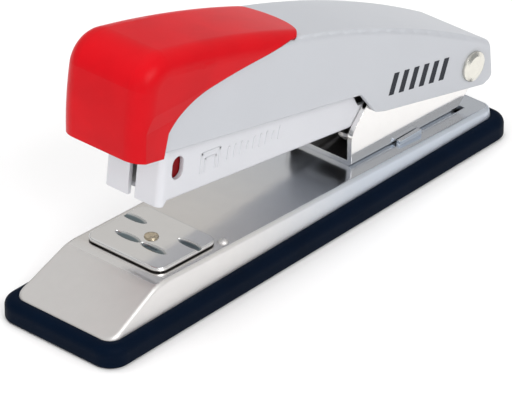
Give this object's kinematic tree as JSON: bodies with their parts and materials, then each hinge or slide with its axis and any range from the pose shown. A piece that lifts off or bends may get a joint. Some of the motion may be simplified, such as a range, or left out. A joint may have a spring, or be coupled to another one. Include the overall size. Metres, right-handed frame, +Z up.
{
  "type": "desktop stapler",
  "caption": "Metal desktop stapler with a red thumb cap, a hinged sprung magazine and handle, a spring-fed staple pusher and a turning anvil on a rubber-soled base.",
  "frame": {"origin": "centre of the base's footprint, on the surface the rubber boot stands on", "axes": "+Z up; +X along the stapler from the staple exit at the front (-X) towards the hinge at the rear; +Y across"},
  "size_m": [0.128, 0.0326, 0.0615],
  "materials": {
    "boot_rubber": "satin dark navy black",
    "base_nickel": "bright nickel plate",
    "bracket_nickel": "bright nickel plate",
    "anvil_chrome": "bright chrome plate",
    "rivet_brass": "satin",
    "pin_nickel": "satin nickel",
    "magazine_paint": "light grey satin",
    "handle_paint": "light grey satin",
    "cap_red": "satin red",
    "pusher_red": "satin red",
    "spring_steel": "satin",
    "zinc_steel": "satin"
  },
  "bodies": {
    "base": {"rubber_boot": "boot_rubber", "base_shell": "base_nickel", "hinge_bracket": "bracket_nickel", "pivot_pin": "pin_nickel", "bracket_rivets": "zinc_steel", "lift_spring": "spring_steel"},
    "anvil": {"anvil_plate": "anvil_chrome", "anvil_rivet": "rivet_brass", "anvil_washer": "zinc_steel", "anvil_spring": "spring_steel"},
    "magazine": {"magazine_channel": "magazine_paint", "staple_rail": "zinc_steel", "rear_stop": "zinc_steel", "guide_rod": "spring_steel", "rail_rivets": "zinc_steel", "pusher_spring": "spring_steel"},
    "pusher": {"pusher": "pusher_red"},
    "handle": {"handle_cover": "handle_paint", "front_cap": "cap_red", "driver_blade": "spring_steel", "blade_carrier": "zinc_steel", "handle_leaf": "spring_steel", "leaf_rivets": "zinc_steel", "carrier_rivet": "zinc_steel"}
  },
  "joints": [
    {"name": "magazine_pivot", "type": "hinge", "parent": "base", "child": "magazine", "pos_m": [0.0571, 0, 0.0176], "axis": [0, 1, 0], "range_deg": [-7, 55], "stiffness_Nm_per_rad": 0.6, "springref_deg": 3.44, "deforming": ["lift_spring"]},
    {"name": "handle_pivot", "type": "hinge", "parent": "magazine", "child": "handle", "pos_m": [0.0571, 0, 0.0176], "axis": [0, 1, 0], "range_deg": [-5, 58], "stiffness_Nm_per_rad": 0.5, "springref_deg": 2.86, "deforming": ["handle_leaf"]},
    {"name": "pusher_slide", "type": "slide", "parent": "magazine", "child": "pusher", "axis": [0.9905, 0, -0.1374], "range_m": [0, 0.05], "stiffness_N_per_m": 25, "springref_m": -0.04, "deforming": ["pusher_spring"]},
    {"name": "anvil_turn", "type": "hinge", "parent": "base", "child": "anvil", "pos_m": [-0.03435, 0, 0.01125], "axis": [0.0424, 0, 0.9991], "continuous": true}
  ]
}
